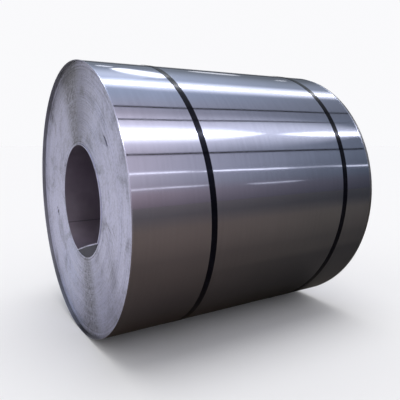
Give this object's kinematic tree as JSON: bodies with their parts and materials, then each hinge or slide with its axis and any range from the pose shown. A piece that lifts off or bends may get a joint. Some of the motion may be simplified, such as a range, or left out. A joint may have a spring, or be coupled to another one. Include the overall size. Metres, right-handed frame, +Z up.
{
  "type": "steel coil",
  "caption": "Wound coil of cold rolled steel strip lying on its side, with an open bore, outermost turns proud of one end, and black girth straps closed by crimped seals.",
  "frame": {"origin": "on the floor, under the middle of the coil's overall length", "axes": "+X along the coil's axis from the end with the proud outermost turns to the other end, +Z up"},
  "size_m": [1.5286, 1.4879, 1.4879],
  "materials": {
    "strip_steel": "bright cold rolled strip, mirror-like on the outer turn and satin on the cut edges",
    "strap_paint": "black baked strap paint, glossy",
    "seal_steel": "galvanised, dull, with bright crimp cuts"
  },
  "bodies": {
    "root": {"coil": "strip_steel", "near_strap": "strap_paint", "far_strap": "strap_paint", "near_strap_seal": "seal_steel", "far_strap_seal": "seal_steel"}
  },
  "joints": []
}
